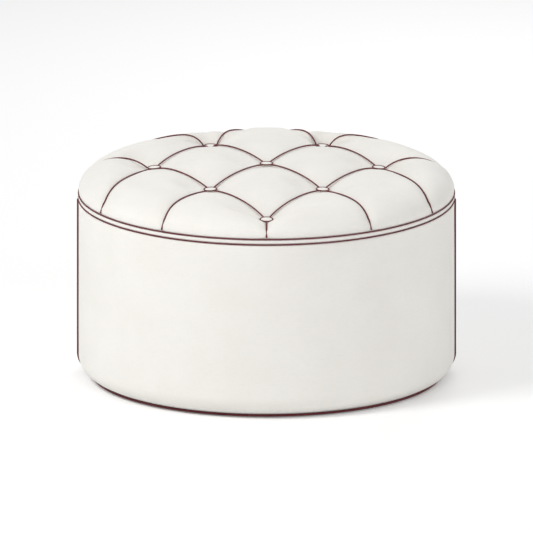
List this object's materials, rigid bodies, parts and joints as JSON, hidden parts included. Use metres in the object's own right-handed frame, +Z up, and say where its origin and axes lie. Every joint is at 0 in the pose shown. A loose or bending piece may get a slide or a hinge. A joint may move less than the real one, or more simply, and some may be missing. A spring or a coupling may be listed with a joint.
{
  "type": "round tufted ottoman",
  "caption": "Round drum ottoman with a deep button-tufted seat, a welt and contrast piping, padded fabric sides and low glides, for sitting on or resting feet.",
  "frame": {"origin": "on the floor under the middle of the drum, in the plane of the glides' feet", "axes": "+Z up; -Y is the front, where a button and its pleat stand on the centre line; +X is to the right"},
  "size_m": [0.7648, 0.7633, 0.4454],
  "materials": {
    "ivory_upholstery": "matte woven upholstery fabric, off-white",
    "maroon_piping": "matte woven cord cover, dark maroon",
    "plywood": "sanded birch plywood",
    "softwood": "planed pine",
    "fibreboard": "smooth brown hardboard",
    "tack_board": "grey-brown pressed fibre strip",
    "zinc_steel": "zinc-plated",
    "dust_cloth": "black non-woven cloth",
    "glide_plastic": "dark moulded plastic",
    "washer_plastic": "natural moulded nylon",
    "side_foam": "open-cell foam",
    "seat_foam": "firm open-cell foam",
    "wadding": "soft polyester fibre",
    "cord_core": "cotton filler cord",
    "twine": "waxed flax twine"
  },
  "bodies": {
    "root": {"base_ring": "plywood", "seat_deck": "plywood", "frame_post_1": "softwood", "frame_post_2": "softwood", "frame_post_3": "softwood", "frame_post_4": "softwood", "frame_post_5": "softwood", "frame_post_6": "softwood", "frame_post_7": "softwood", "frame_post_8": "softwood", "side_panel_back": "fibreboard", "side_panel_front": "fibreboard", "base_screws": "zinc_steel", "deck_screws": "zinc_steel", "dust_cover": "dust_cloth", "glide_1": "glide_plastic", "glide_2": "glide_plastic", "glide_3": "glide_plastic", "glide_4": "glide_plastic", "glide_5": "glide_plastic", "glide_6": "glide_plastic", "side_padding": "side_foam", "side_cover_back": "ivory_upholstery", "side_cover_front": "ivory_upholstery", "tack_strip": "tack_board", "side_piping_right": "maroon_piping", "side_piping_left": "maroon_piping", "base_piping": "maroon_piping", "welt_core": "cord_core", "welt_cover": "ivory_upholstery", "welt_edge_piping": "maroon_piping", "seat_cover": "ivory_upholstery", "seat_foam_slab": "seat_foam", "seat_wadding": "wadding", "tuft_button_1": "ivory_upholstery", "tuft_button_2": "ivory_upholstery", "tuft_button_3": "ivory_upholstery", "tuft_button_4": "ivory_upholstery", "tuft_button_5": "ivory_upholstery", "tuft_button_6": "ivory_upholstery", "tuft_button_7": "ivory_upholstery", "tuft_button_8": "ivory_upholstery", "button_piping": "maroon_piping", "tufting_twines": "twine", "twine_washers": "washer_plastic", "pleat_piping": "maroon_piping"}
  },
  "joints": []
}
